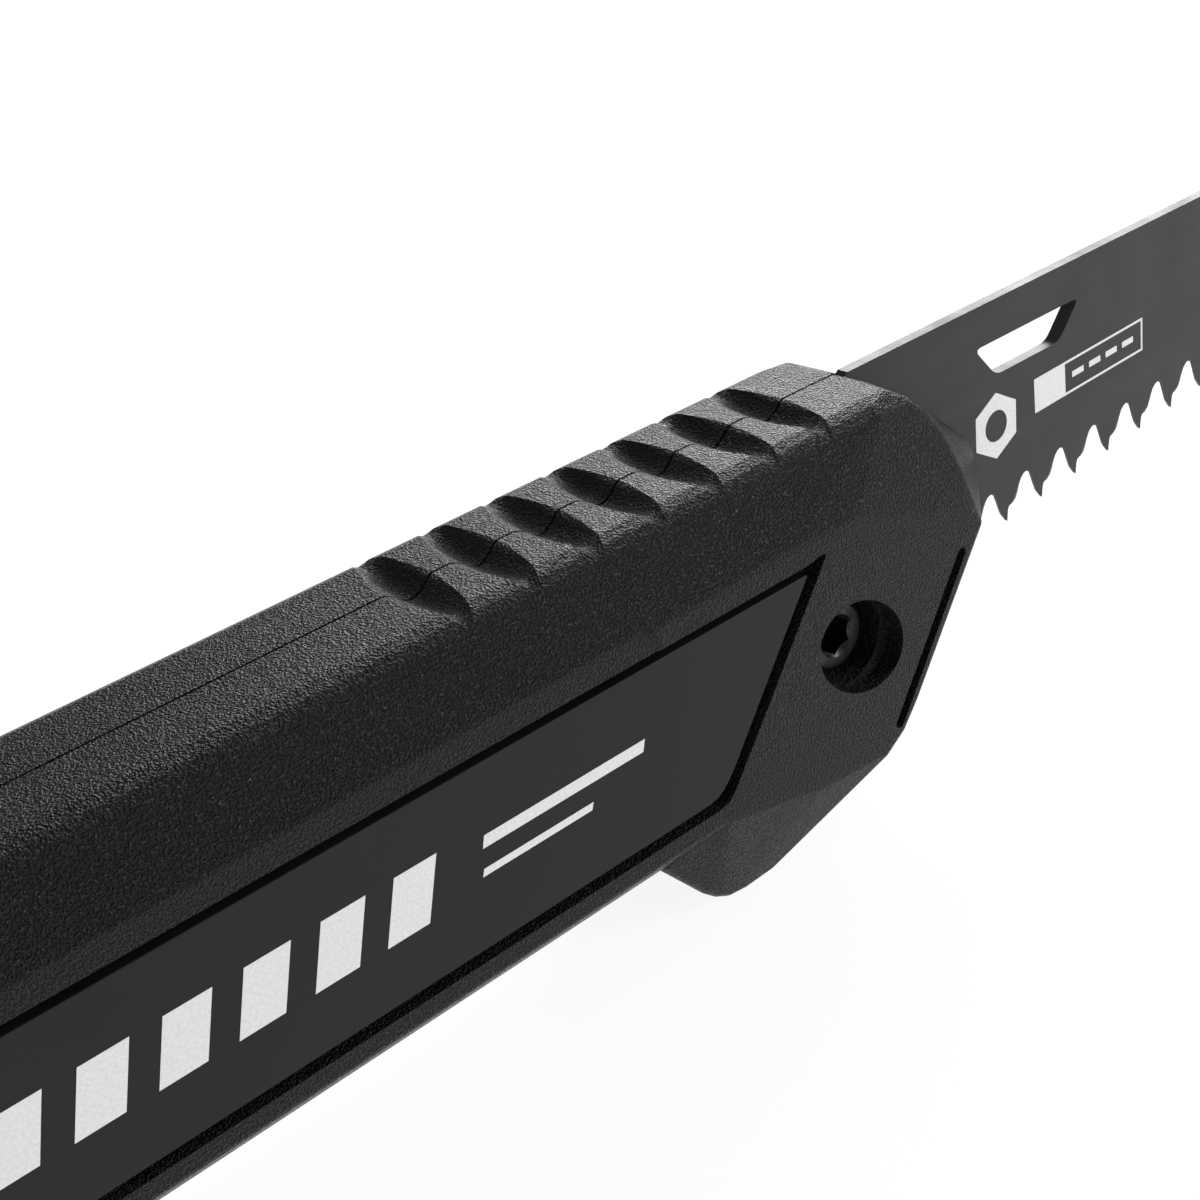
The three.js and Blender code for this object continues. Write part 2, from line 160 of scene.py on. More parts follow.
def layered_plate(name, layers, holes=()):
    """A plate through several outlines of equal length, given as (y, outline), from one face to the other."""
    bm = bmesh.new()
    rings = []
    for y, outline in layers:
        rings.append([[bm.verts.new((x, y, z)) for x, z in loop] for loop in [outline, *holes]])
    for k, turn in ((0, 1), (-1, -1)):
        flat = [v for loop in rings[k] for v in loop]
        loops = [[Vector((v.co.x, v.co.z, 0)) for v in loop] for loop in rings[k]]
        for triangle in tessellate_polygon(loops):
            bm.faces.new([flat[i] for i in triangle][::turn])
    for low, high in zip(rings, rings[1:]):
        for a, b in zip(low, high):
            for i in range(len(a)):
                j = (i + 1) % len(a)
                bm.faces.new((a[i], a[j], b[j], b[i]))
    bmesh.ops.recalc_face_normals(bm, faces=bm.faces)
    return new_object(name, mesh_from_bmesh(name, bm))


def circle(x, z, radius, count=64, phase=0.0):
    angles = [phase + 2 * math.pi * i / count for i in range(count)]
    return [(x + radius * math.cos(a), z + radius * math.sin(a)) for a in angles]


def rectangle(x0, z0, x1, z1):
    return [(x0, z0), (x1, z0), (x1, z1), (x0, z1)]


def hexagon(across, turn=30):
    """A hexagon about the clamp screw, given by its width across flats."""
    return circle(0, 0, across / math.sqrt(3), 6, math.radians(turn))


def oval(long, short, tilt, count=96):
    """An ellipse about the clamp screw, its long axis tilted up towards the butt."""
    c, s = math.cos(math.radians(tilt)), math.sin(math.radians(tilt))
    points = circle(0, 0, long, count)
    return [(-x * c - z * s * short / long, x * s - z * c * short / long) for x, z in points]


def lathe(name, profile, x=0.0, z=0.0, count=72):
    """A turned piece on a Y axis: profile is (radius, y), closed on the axis or on itself."""
    bm = bmesh.new()
    rings = []
    for r, y in profile:
        if r < 1e-6:
            rings.append([bm.verts.new((x, y, z))])
        else:
            rings.append([bm.verts.new((px, y, pz)) for px, pz in circle(x, z, r, count)])
    for a, b in zip(rings, rings[1:]):
        for i in range(count):
            j = (i + 1) % count
            corners = [a[i % len(a)], a[j % len(a)], b[j % len(b)], b[i % len(b)]]
            unique = list(dict.fromkeys(corners))
            if len(unique) > 2:
                bm.faces.new(unique)
    bmesh.ops.remove_doubles(bm, verts=bm.verts, dist=1e-5)
    bmesh.ops.recalc_face_normals(bm, faces=bm.faces)
    return new_object(name, mesh_from_bmesh(name, bm))


def arc(cx, cy, radius, start, end, steps=5):
    """Points on an arc in a (radius, y) profile, angles in degrees."""
    angles = [math.radians(start + (end - start) * i / steps) for i in range(steps + 1)]
    return [(cx + radius * math.cos(a), cy + radius * math.sin(a)) for a in angles]


def bake(obj):
    """Replaces the object's mesh by what its modifiers make of it."""
    graph = bpy.context.evaluated_depsgraph_get()
    mesh = bpy.data.meshes.new_from_object(obj.evaluated_get(graph))
    old = obj.data
    obj.modifiers.clear()
    obj.data = mesh
    bpy.data.meshes.remove(old)


def combine(obj, others, operation):
    """Cuts, joins or intersects the object with each of the others, which are used up."""
    for other in others:
        modifier = obj.modifiers.new("combine", "BOOLEAN")
        modifier.operation = operation
        modifier.solver = "EXACT"
        modifier.object = other
        bake(obj)
        drop(other)


def duplicate(obj, name):
    return new_object(name, obj.data.copy())


def soften(obj, width, angle, segments=2):
    """A small even round on every edge sharper than the angle."""
    modifier = obj.modifiers.new("soften", "BEVEL")
    modifier.width = width
    modifier.segments = segments
    modifier.limit_method = "ANGLE"
    modifier.angle_limit = math.radians(angle)
    modifier.use_clamp_overlap = True
    modifier.harden_normals = False
    bake(obj)


def tidy(obj, merge=1e-3, flat=0.3):
    """Merges the tiny edges and flat facets that a cut leaves behind."""
    bm = bmesh.new()
    bm.from_mesh(obj.data)
    bmesh.ops.remove_doubles(bm, verts=bm.verts, dist=merge)
    bmesh.ops.dissolve_degenerate(bm, edges=bm.edges, dist=merge / 2)
    bmesh.ops.dissolve_limit(bm, angle_limit=math.radians(flat), verts=bm.verts, edges=bm.edges)
    bm.to_mesh(obj.data)
    bm.free()


def smooth(obj, angle=32):
    """Smooth shading that stays crisp at edges sharper than the angle."""
    for polygon in obj.data.polygons:
        polygon.use_smooth = True
    obj.data.set_sharp_from_angle(angle=math.radians(angle))
    modifier = obj.modifiers.new("even_normals", "WEIGHTED_NORMAL")
    modifier.keep_sharp = True
    modifier.weight = 60
    bake(obj)


def grow(outline, distance):
    """Moves every edge of an anticlockwise outline outwards by the distance."""
    edges = []
    for i, (x, z) in enumerate(outline):
        nx, nz = outline[(i + 1) % len(outline)]
        length = math.hypot(nx - x, nz - z)
        normal = ((nz - z) / length, (x - nx) / length)
        edges.append((normal, normal[0] * x + normal[1] * z + distance))
    moved = []
    for i, (n1, d1) in enumerate(edges):
        n0, d0 = edges[i - 1]
        det = n0[0] * n1[1] - n0[1] * n1[0]
        moved.append(((d0 * n1[1] - d1 * n0[1]) / det, (n0[0] * d1 - n1[0] * d0) / det))
    return moved


def place(obj, node=None, material=None):
    """Takes a piece from drawing coordinates to the row frame and joins it to the CAD model."""
    obj.data.transform(Matrix.Translation((OFFSET_X * MM, 0, OFFSET_Z * MM)) @ Matrix.Scale(MM, 4))
    if material is not None:
        obj.data.materials.clear()
        obj.data.materials.append(material)
    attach(obj, "root")
    if node:
        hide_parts(node)


# ---------------------------------------------------------------- materials
def material(name):
    mat = bpy.data.materials.new(name)
    mat.use_nodes = True
    tree = mat.node_tree
    tree.nodes.clear()
    out = tree.nodes.new("ShaderNodeOutputMaterial")
    shader = tree.nodes.new("ShaderNodeBsdfPrincipled")
    tree.links.new(shader.outputs["BSDF"], out.inputs["Surface"])
    return mat, tree, shader


def node(tree, kind, **settings):
    made = tree.nodes.new(kind)
    for key, value in settings.items():
        if key in made.inputs:
            made.inputs[key].default_value = value
        else:
            setattr(made, key, value)
    return made


def stretched(tree, scale):
    """Object coordinates (row frame, metres) multiplied by a scale on each axis."""
    coords = node(tree, "ShaderNodeTexCoord")
    mapping = node(tree, "ShaderNodeMapping")
    mapping.inputs["Scale"].default_value = scale
    tree.links.new(coords.outputs["Object"], mapping.inputs["Vector"])
    return mapping.outputs["Vector"]


def noise(tree, vector, scale, detail=2.0, roughness=0.5):
    made = node(tree, "ShaderNodeTexNoise")
    made.inputs["Scale"].default_value = scale
    made.inputs["Detail"].default_value = detail
    made.inputs["Roughness"].default_value = roughness
    tree.links.new(vector, made.inputs["Vector"])
    return made.outputs["Fac"]


def ramp(tree, value, stops):
    """A colour ramp: stops are (position, colour)."""
    made = node(tree, "ShaderNodeValToRGB")
    elements = made.color_ramp.elements
    while len(elements) < len(stops):
        elements.new(0.5)
    for element, (position, colour) in zip(elements, stops):
        element.position = position
        element.color = (*colour, 1) if len(colour) == 3 else colour
    tree.links.new(value, made.inputs["Fac"])
    return made.outputs["Color"]


def spread(tree, value, low, high, low_out, high_out):
    """Maps low..high evenly to low_out..high_out."""
    made = node(tree, "ShaderNodeMapRange")
    made.inputs["From Min"].default_value = low
    made.inputs["From Max"].default_value = high
    made.inputs["To Min"].default_value = low_out
    made.inputs["To Max"].default_value = high_out
    tree.links.new(value, made.inputs["Value"])
    return made.outputs["Result"]


def bump(tree, shader, height, distance, strength=1.0):
    made = node(tree, "ShaderNodeBump")
    made.inputs["Strength"].default_value = strength
    made.inputs["Distance"].default_value = distance
    tree.links.new(height, made.inputs["Height"])
    tree.links.new(made.outputs["Normal"], shader.inputs["Normal"])


def add(tree, a, b, scale_b=1.0):
    """a + b * scale_b"""
    made = node(tree, "ShaderNodeMath", operation="MULTIPLY_ADD")
    tree.links.new(b, made.inputs[0])
    made.inputs[1].default_value = scale_b
    tree.links.new(a, made.inputs[2])
    return made.outputs["Value"]


def grained_plastic():
    """Black moulded plastic with a coarse spark-eroded grain."""
    mat, tree, shader = material("grained_black_plastic")
    here = stretched(tree, (1, 1, 1))
    grain = noise(tree, here, 3800, 1.0, 0.5)
    fine = noise(tree, here, 7000, 0.0, 0.5)
    pebbles = spread(tree, grain, 0.38, 0.64, 0.0, 1.0)
    height = add(tree, pebbles, fine, 0.4)
    bump(tree, shader, height, 0.0002, 1.0)
    colour = ramp(tree, grain, [(0.4, (0.002, 0.002, 0.0024)), (0.62, (0.0135, 0.0135, 0.0146))])
    tree.links.new(colour, shader.inputs["Base Color"])
    rough = spread(tree, grain, 0.36, 0.66, 0.46, 0.28)
    tree.links.new(rough, shader.inputs["Roughness"])
    shader.inputs["Specular IOR Level"].default_value = 0.23
    return mat


def satin_plastic():
    """The smooth label panels."""
    mat, tree, shader = material("satin_black_plastic")
    here = stretched(tree, (1, 1, 1))
    fine = noise(tree, here, 5200, 2.0, 0.5)
    broad = noise(tree, here, 90, 3.0, 0.55)
    bump(tree, shader, fine, 0.000012, 0.5)
    colour = ramp(tree, broad, [(0.3, (0.0095, 0.0095, 0.0098)), (0.7, (0.0125, 0.0125, 0.0128))])
    tree.links.new(colour, shader.inputs["Base Color"])
    rough = spread(tree, broad, 0.3, 0.7, 0.42, 0.5)
    tree.links.new(rough, shader.inputs["Roughness"])
    shader.inputs["Specular IOR Level"].default_value = 0.22
    return mat


def blade_paint():
    """Dark grey coating on the blade's faces, with a faint lengthwise grain and small rubbed marks."""
    mat, tree, shader = material("blade_coating")
    along = stretched(tree, (40, 900, 900))
    here = stretched(tree, (1, 1, 1))
    grain = noise(tree, along, 1.0, 3.0, 0.6)
    fine = noise(tree, here, 4200, 2.0, 0.5)
    rub = noise(tree, here, 140, 4.0, 0.6)
    height = add(tree, grain, fine, 0.5)
    bump(tree, shader, height, 0.000012, 0.6)
    colour = ramp(tree, grain, [(0.3, (0.028, 0.0275, 0.028)), (0.72, (0.033, 0.0322, 0.033))])
    tree.links.new(colour, shader.inputs["Base Color"])
    rough = spread(tree, rub, 0.35, 0.7, 0.52, 0.40)
    tree.links.new(rough, shader.inputs["Roughness"])
    shader.inputs["Metallic"].default_value = 0.2
    shader.inputs["Specular IOR Level"].default_value = 0.35
    return mat


def ground_steel(name, dark, light, rough_low, rough_high):
    """Bare steel ground across its edge: fine bright scratches over the thickness."""
    mat, tree, shader = material(name)
    across = stretched(tree, (2600, 120, 120))
    streaks = noise(tree, across, 1.0, 3.0, 0.65)
    here = stretched(tree, (1, 1, 1))
    patches = noise(tree, here, 420, 2.0, 0.5)
    colour = ramp(tree, streaks, [(0.32, dark), (0.62, light)])
    tree.links.new(colour, shader.inputs["Base Color"])
    rough = spread(tree, patches, 0.3, 0.7, rough_low, rough_high)
    tree.links.new(rough, shader.inputs["Roughness"])
    bump(tree, shader, streaks, 0.00001, 0.7)
    shader.inputs["Metallic"].default_value = 1.0
    return mat


def fastener_steel(name, dark, light, roughness):
    """Coated or plated steel, slightly mottled."""
    mat, tree, shader = material(name)
    here = stretched(tree, (1, 1, 1))
    mottle = noise(tree, here, 900, 3.0, 0.6)
    fine = noise(tree, here, 5200, 1.0, 0.5)
    colour = ramp(tree, mottle, [(0.3, dark), (0.7, light)])
    tree.links.new(colour, shader.inputs["Base Color"])
    rough = spread(tree, mottle, 0.3, 0.7, roughness + 0.08, roughness - 0.05)
    tree.links.new(rough, shader.inputs["Roughness"])
    bump(tree, shader, fine, 0.000008, 0.5)
    shader.inputs["Metallic"].default_value = 0.9
    return mat


def print_ink():
    """White pad-printed ink."""
    mat, tree, shader = material("white_print")
    here = stretched(tree, (1, 1, 1))
    fine = noise(tree, here, 3000, 2.0, 0.5)
    colour = ramp(tree, fine, [(0.3, (0.7, 0.71, 0.72)), (0.7, (0.82, 0.83, 0.84))])
    tree.links.new(colour, shader.inputs["Base Color"])
    bump(tree, shader, fine, 0.000006, 0.4)
    shader.inputs["Roughness"].default_value = 0.55
    return mat


GRAINED = grained_plastic()
SATIN = satin_plastic()
PAINT = blade_paint()
SPINE_STEEL = ground_steel("ground_spine_steel", (0.50, 0.50, 0.51), (0.92, 0.92, 0.93), 0.28, 0.42)
TOOTH_STEEL = ground_steel("ground_tooth_steel", (0.03, 0.03, 0.032), (0.065, 0.065, 0.068), 0.36, 0.46)
BLACK_STEEL = fastener_steel("black_oxide_steel", (0.022, 0.022, 0.023), (0.06, 0.06, 0.062), 0.3)
ZINC = fastener_steel("zinc_plated_steel", (0.42, 0.42, 0.43), (0.60, 0.60, 0.61), 0.34)
INK = print_ink()

# ---------------------------------------------------------------- handle shells
# Half sections across the handle are (distance from the mid-plane, z); side views are (x, z);
# points of the nose rim and the butt are (x, distance from the mid-plane, z).
FRONT_EDGE_RADIUS = 1.3
REAR_EDGE_RADIUS = 1.1
FRONT_START_X, FRONT_END_X = -28.4, 9.4
REAR_START_X, REAR_END_X = -116, -20
CROWN = [(0, 23.8), (5.5, 23.8), (7.2, 23.75), (8.5, 23.2), (9.4, 22.4)]
UNDERSIDE = [(10.2, -14.2), (8.6, -14.9), (0, -15.0)]
FACET_FRONT = [
    (-28.4, FACET_TOP), (-7.7, FACET_TOP), (1.1, 15.1), (17, 9.1), (18.9, 7.7), (20, 6.1),
    (8, -10.8), (5.7, -13.6), (3, -15.3), (-7.5, -14.2), (-20.8, FACET_BOTTOM),
]
NOSE_RIM = [
    (12.6, 7.3, 23.5), (15, 8.4, 21.9), (16.3, 9.2, 20.1), (17.4, 9.8, 18.2), (17.9, 10.6, 16.5),
    (18.4, 11.5, 14.3), (18.9, 12.3, 11.7), (19.4, 13, 8.8),
]
NOSE_MIDDLE = [
    (12.4, 23.7), (14.6, 22.6), (20.5, 18), (28.6, 10.8), (31, 9.3), (32.2, 7.3), (32.9, 4.6), (32.3, 1.4),
    (21.2, -11.7), (16, -16),
]
NOSE_MIDDLE_HALF = 2
GUARD = [
    (5, -17.6), (-6.2, -21.1), (-14, -23.2), (-17.7, -23.4), (-19.9, -23.1), (-21.5, -22.2), (-22.9, -20.9),
    (-26.2, -16.9), (-28.4, -14.2),
]
GUARD_HALF = 10.4
BUTT = [
    (-121, HALF_WIDTH, 12.5), (-124.5, HALF_WIDTH, 8), (-124.5, HALF_WIDTH, -4), (-121, HALF_WIDTH, -8.5),
    (-120.5, 8.6, 20.6), (-126.4, 8.6, 14), (BUTT_X, 8.6, 6), (BUTT_X, 8.6, -4.5), (-126, 8.6, -11.5),
    (-120.5, 8.6, -14.9), (-120.5, 0, 22.4), (-126.8, 0, 15), (BUTT_X, 0, 7), (BUTT_X, 0, -5),
    (-126.4, 0, -12), (-121, 0, -15),
]
PANEL_OUTLINE = [
    (-106.4, -7.45), (-23.4, -7.45), (-21.8, -7.2), (-20.7, -6.4), (-19.3, -4.9), (-6.6, 11.9),
    (-106.4, 11.9), (-108.45, 9.9), (-108.45, -5.7),
]
POCKET_OUTLINE = [
    (-107.1, -8.7), (-22.2, -8.7), (-20.7, -8.4), (-19.8, -7.6), (-3.95, 13.15), (-4.9, 13.3),
    (-6.6, 12.95), (-107.1, 12.95), (-109.5, 10.4), (-109.5, -6.2),
]
PANEL_POCKET = 11.6
PANEL_BACK = 11.9
PANEL_FACE = 13.3
SCREWS = [(-12.5, -8.7), (-40, 6.5), (-64, -2.5), (-85, 6.5), (-102, 3)]
SCREW_HOLE_RADIUS = 3.3
SCREW_HOLE_FLOOR = 9.2
EYELET_X, EYELET_Z = -117.5, 2.0
EYELET_HOLE_RADIUS = 5.0
EYELET_SINK_RADIUS, EYELET_SINK_FLOOR = 6.3, 12.0
OVAL_LONG, OVAL_SHORT, OVAL_TILT, OVAL_DEPTH = 6.9, 5.15, 37, 2
COUNTERBORE_RADIUS, COUNTERBORE_FLOOR = 4.95, 3.4
CLAMP_HOLE_RADIUS = 2.9
NUT_POCKET_ACROSS, NUT_POCKET_FLOOR = 8.6, 3.4
TANG_PINS = [(-16, 10.5), (-29, 2.5)]
TANG_CLEARANCE = [
    (-36, 1), (-33.5, -3), (-8.5, -3), (-6, -6.9), (60, -6.9), (60, SPINE_Z + 3), (12.8, SPINE_Z + 3),
    (12.6, 19.4), (8.6, 17.5), (-33.5, 17.5), (-36, 14),
]


def both_sides(points):
    return [Vector((x, s * h, z)) for x, h, z in points for s in (-1, 1)]


def front_points():
    points = [(x, HALF_WIDTH, z) for x, z in FACET_FRONT] + NOSE_RIM
    points += [(x, h, z) for h, z in CROWN for x in (FRONT_START_X, FRONT_END_X)]
    points += [(x, NOSE_MIDDLE_HALF, z) for x, z in NOSE_MIDDLE]
    points += [(x, GUARD_HALF, z) for x, z in GUARD]
    return both_sides(points)


def rear_points():
    section = CROWN + [(HALF_WIDTH, FACET_TOP), (HALF_WIDTH, FACET_BOTTOM)] + UNDERSIDE
    return both_sides(BUTT + [(x, h, z) for h, z in section for x in (REAR_END_X, REAR_START_X)])


SCOOP_PITCH = 7.7
SCOOP_COUNT = 7
SCOOP_FIRST_X = 1.7
SCOOP_CREST = 23.86
SCOOP_HALF_LENGTH = 9.5
SCOOP_DEPTH = 1.66
SCOOP_TAPER = 2.2
# The cutter starts just past the crest behind the rearmost scoop and ends on the crest before the front one.
RUN_IN = 4.4
RUN_OUT = 3.7
CUTTER_HALF_WIDTH = 10.2
CUTTER_ROWS = 24
CUTTER_LIFT = 0.06
CUTTER_RISE_OUTSIDE = 0.3
CUTTER_TOP = 30
# Height of the ribbed top over one pitch, from the bottom of a scoop: (distance along X, z).
SCOOP_PROFILE = [
    (0, 22.2), (0.9, 22.35), (1.7, 22.9), (2.3, 23.5), (2.9, 23.82), (3.9, 23.86), (5.2, 23.7), (6.2, 23.2),
    (6.95, 22.55),
]


def smooth_profile(points, pitch, steps):
    """A periodic Catmull-Rom curve through the points."""
    curve = []
    n = len(points)
    for i in range(n):
        p = [points[(i + k - 1) % n][1] for k in range(4)]
        x0 = points[i][0]
        x1 = points[(i + 1) % n][0] + (pitch if i == n - 1 else 0)
        for s in range(steps):
            t = s / steps
            value = 0.5 * (
                2 * p[1] + (p[2] - p[0]) * t + (2 * p[0] - 5 * p[1] + 4 * p[2] - p[3]) * t * t
                + (3 * p[1] - p[0] - 3 * p[2] + p[3]) * t ** 3
            )
            curve.append((x0 + (x1 - x0) * t, value))
    return curve


def crown_height(h):
    """Height of the handle's top at a distance from the mid-plane."""
    section = CROWN + [(HALF_WIDTH, FACET_TOP)]
    return float(np.interp(h, [p[0] for p in section], [p[1] for p in section]))


def scoop_cutter(name):
    """Everything above the ribbed top. Each scoop is deepest on the mid-plane and runs out at the crown's edges."""
    wave = smooth_profile(SCOOP_PROFILE, SCOOP_PITCH, 3)
    first = SCOOP_FIRST_X - (SCOOP_COUNT - 1) * SCOOP_PITCH
    columns = [(first - SCOOP_PITCH + x, z) for x, z in wave if x > RUN_IN]
    for i in range(SCOOP_COUNT):
        is_last = i == SCOOP_COUNT - 1
        columns += [(first + i * SCOOP_PITCH + x, z) for x, z in wave if not is_last or x < RUN_OUT]
    rows = [CUTTER_HALF_WIDTH * i / CUTTER_ROWS for i in range(-CUTTER_ROWS, CUTTER_ROWS + 1)]
    bm = bmesh.new()
    grid = []
    for x, z in columns:
        line = []
        for y in rows:
            run_out = SCOOP_DEPTH * (abs(y) / SCOOP_HALF_LENGTH) ** SCOOP_TAPER
            depth = max(0, SCOOP_CREST - z - run_out)
            outside = CUTTER_RISE_OUTSIDE * max(0, abs(y) - SCOOP_HALF_LENGTH)
            line.append(bm.verts.new((x, y, crown_height(abs(y)) + CUTTER_LIFT - depth + outside)))
        grid.append(line)
    for a, b in zip(grid, grid[1:]):
        for j in range(len(rows) - 1):
            bm.faces.new((a[j], a[j + 1], b[j + 1], b[j]))
    edge = [line[0] for line in grid] + grid[-1][1:]
    edge += [line[-1] for line in grid[-2::-1]] + grid[0][-2:0:-1]
    raised = [bm.verts.new((v.co.x, v.co.y, CUTTER_TOP)) for v in edge]
    for i in range(len(edge)):
        j = (i + 1) % len(edge)
        bm.faces.new((edge[i], edge[j], raised[j], raised[i]))
    bm.faces.new(raised)
    bmesh.ops.recalc_face_normals(bm, faces=bm.faces)
    return new_object(name, mesh_from_bmesh(name, bm))


NOSE_GROOVE_ENDS = [(5.0, -12.3), (16.4, 4.0)]
NOSE_GROOVE_WIDTH = 1.35
NOSE_GROOVE_DEPTH = 1.1


def nose_groove():
    """The narrow groove along the nose, with round ends."""
    (x0, z0), (x1, z1) = NOSE_GROOVE_ENDS
    half = NOSE_GROOVE_WIDTH / 2
    length = math.hypot(x1 - x0, z1 - z0)
    dx, dz = (x1 - x0) / length, (z1 - z0) / length
    outline = []
    for cx, cz, sign in ((x0, z0, -1), (x1, z1, 1)):
        for i in range(7):
            a = math.radians(-90 + 30 * i)
            ux, uz = math.cos(a), math.sin(a)
            outline.append((cx + half * sign * (dx * ux - dz * uz), cz + half * sign * (dz * ux + dx * uz)))
    return outline


def round_corners(outline, radius, steps=4):
    """Rounds each corner of a closed outline."""
    rounded = []
    n = len(outline)
    for i in range(n):
        p, q, r = (Vector(outline[(i + k - 1) % n]) for k in range(3))
        a, b = (p - q), (r - q)
        cut = min(radius, 0.45 * a.length, 0.45 * b.length)
        start, end = q + a.normalized() * cut, q + b.normalized() * cut
        for s in range(steps + 1):
            t = s / steps
            point = start * (1 - t) ** 2 + q * 2 * t * (1 - t) + end * t * t
            rounded.append((point.x, point.y))
    return rounded


def make_shells():
    body = rounded_hull("body", front_points(), FRONT_EDGE_RADIUS)
    combine(body, [rounded_hull("rear", rear_points(), REAR_EDGE_RADIUS)], "UNION")
    tidy(body)
    combine(body, [scoop_cutter("scoops")], "DIFFERENCE")
    for side, name in ((-1, "right_shell"), (1, "left_shell")):
        outside = side * (HALF_WIDTH + 1)
        shell = duplicate(body, name + "_visual")
        cutters = [
            plate("c", rectangle(-140, -30, 50, 30), side * SEAM, -side * 20),
            plate("c", grow(TANG_CLEARANCE, GAP), side * (BLADE_HALF + GAP), -side * 3),
            plate("c", round_corners(POCKET_OUTLINE, 0.5), side * PANEL_POCKET, outside),
            plate("c", nose_groove(), side * (HALF_WIDTH - NOSE_GROOVE_DEPTH), outside),
            plate("c", circle(EYELET_X, EYELET_Z, EYELET_HOLE_RADIUS), -side, outside),
            plate("c", circle(EYELET_X, EYELET_Z, EYELET_SINK_RADIUS), side * EYELET_SINK_FLOOR, outside),
        ]
        if side < 0:
            mouth = oval(OVAL_LONG, OVAL_SHORT, OVAL_TILT)
            cutters.append(plate("c", mouth, -HALF_WIDTH + OVAL_DEPTH, outside))
            cutters.append(plate("c", circle(0, 0, COUNTERBORE_RADIUS, 96), -COUNTERBORE_FLOOR, outside))
            cutters.append(plate("c", circle(0, 0, CLAMP_HOLE_RADIUS), 1, outside))
        else:
            cutters.append(plate("c", hexagon(NUT_POCKET_ACROSS), NUT_POCKET_FLOOR, outside))
            cutters.append(plate("c", circle(0, 0, CLAMP_HOLE_RADIUS), -1, outside))
            for x, z in SCREWS:
                cutters.append(plate("c", circle(x, z, SCREW_HOLE_RADIUS, 48), SCREW_HOLE_FLOOR, outside))
        combine(shell, cutters, "DIFFERENCE")
        tidy(shell)
        soften(shell, 0.16, 38)
        smooth(shell)
        place(shell, name, GRAINED)
    drop(body)


# ---------------------------------------------------------------- side panels and printed marks
def make_panel(side, name):
    """A label panel. The far one is pierced by the shell screws that sit under it."""
    holes = []
    if side > 0:
        holes = [circle(x, z, SCREW_HOLE_RADIUS, 48) for x, z in SCREWS[1:]]
    outline = round_corners(PANEL_OUTLINE, 0.5)
    panel = plate(name + "_visual", outline, side * PANEL_BACK, side * PANEL_FACE, holes)
    soften(panel, 0.14, 40, 3)
    smooth(panel)
    place(panel, name, SATIN)


INK_THICKNESS = 0.03
STRIPE_COUNT = 6
STRIPE_FIRST_X = -99.5
STRIPE_PITCH = 7.6
STRIPE_WIDTH = 4.6


def mark(name, outline, y, holes=()):
    """A thin layer of white ink, outwards from a flat face at y."""
    place(plate(name, outline, y, y + math.copysign(INK_THICKNESS, y), holes), None, INK)


def slanted_bar(x0, x1, z0, z1, lean):
    return [(x0, z0), (x1, z0), (x1 + lean, z1), (x0 + lean, z1)]


def make_panel_marks():
    """Plain slanted bars and two lines on the near panel, with no lettering."""
    shapes = {}
    for i in range(STRIPE_COUNT):
        x0 = STRIPE_FIRST_X + i * STRIPE_PITCH
        shapes[f"stripe_{i + 1}"] = slanted_bar(x0, x0 + STRIPE_WIDTH, -1.0, 5.6, 2.2)
    shapes["line_upper"] = slanted_bar(-50.0, -30.5, 3.2, 4.5, 0.4)
    shapes["line_lower"] = slanted_bar(-50.6, -37.5, 0.3, 1.1, 0.3)
    for part, outline in shapes.items():
        mark(f"right_panel_{part}", outline, -PANEL_FACE)


# ---------------------------------------------------------------- blade
# One tooth from its tip, on the near face, at the sharp edge and on the far face: the back of the tooth is
# ground on the near side and its upright front on the far side.
TOOTH_FACE = [
    (0, 0), (0.1, 0.8), (0.2, 1.5), (0.4, 1.9), (0.9, 2.1), (1.4, 2.45), (1.8, 3.1), (2.2, 3.9), (2.7, 4.6),
    (3.3, 5.05), (4.1, 5.15), (4.7, 4.6), (5, 3.5), (5.3, 2.6), (5.79, 1.35), (6.35, 0.55),
]
TOOTH_EDGE = [
    (0.02, 0.05), (0.2, 0.8), (0.49, 1.39), (0.93, 1.62), (1.7, 1.66), (2.3, 2.02), (2.7, 2.8), (2.99, 3.5),
    (3.4, 4.2), (3.9, 4.6), (4.4, 4.72), (4.85, 4.4), (5.2, 3.5), (5.5, 2.6), (5.95, 1.4), (6.45, 0.65),
]
TOOTH_BACK = [
    (1.25, 1.45), (1.3, 1.5), (1.4, 1.55), (1.5, 1.6), (1.75, 1.66), (2.3, 2.02), (2.7, 2.8), (2.99, 3.5),
    (3.4, 4.2), (3.9, 4.65), (4.7, 4.9), (5.6, 4.85), (6.3, 4.5), (6.85, 3.7), (7.3, 2.7), (7.75, 1.9),
]
TOOTH_PITCH = 6.855
TOOTH_COUNT = 21
FIRST_TOOTH_X = 32.87
TOOTH_LINE_X, TOOTH_LINE_Z, TOOTH_LINE_SLOPE = 39.72, -5.98, 0.067
TOOTH_LAND = 1.5
TANG_UNDERSIDE = [(-36, 1), (-33.5, -3), (-8.5, -3), (-6, -6.9), (28, -6.9)]
FIRST_GULLET = [
    (28.8, -5.2), (29.3, -3.5), (29.9, -2.7), (30.8, -2.4), (31.7, -2.8), (32.3, -3.9), (32.65, -5.2),
]
POINT_TOP = [(172.5, 13.6), (163.6, 20.8), (160.6, 22.8), (157, SPINE_Z)]
TANG_TOP = [(13.8, SPINE_Z), (12.8, 22.8), (12.6, 19.4), (8.6, 17.5), (-33.5, 17.5), (-36, 14)]
BLADE_BORE_RADIUS = 4.3
PIN_BORE_RADIUS = 2.3
WINDOW_BOTTOM, WINDOW_TOP = 14.15, 18.5
WINDOW_GROUND = 1.2


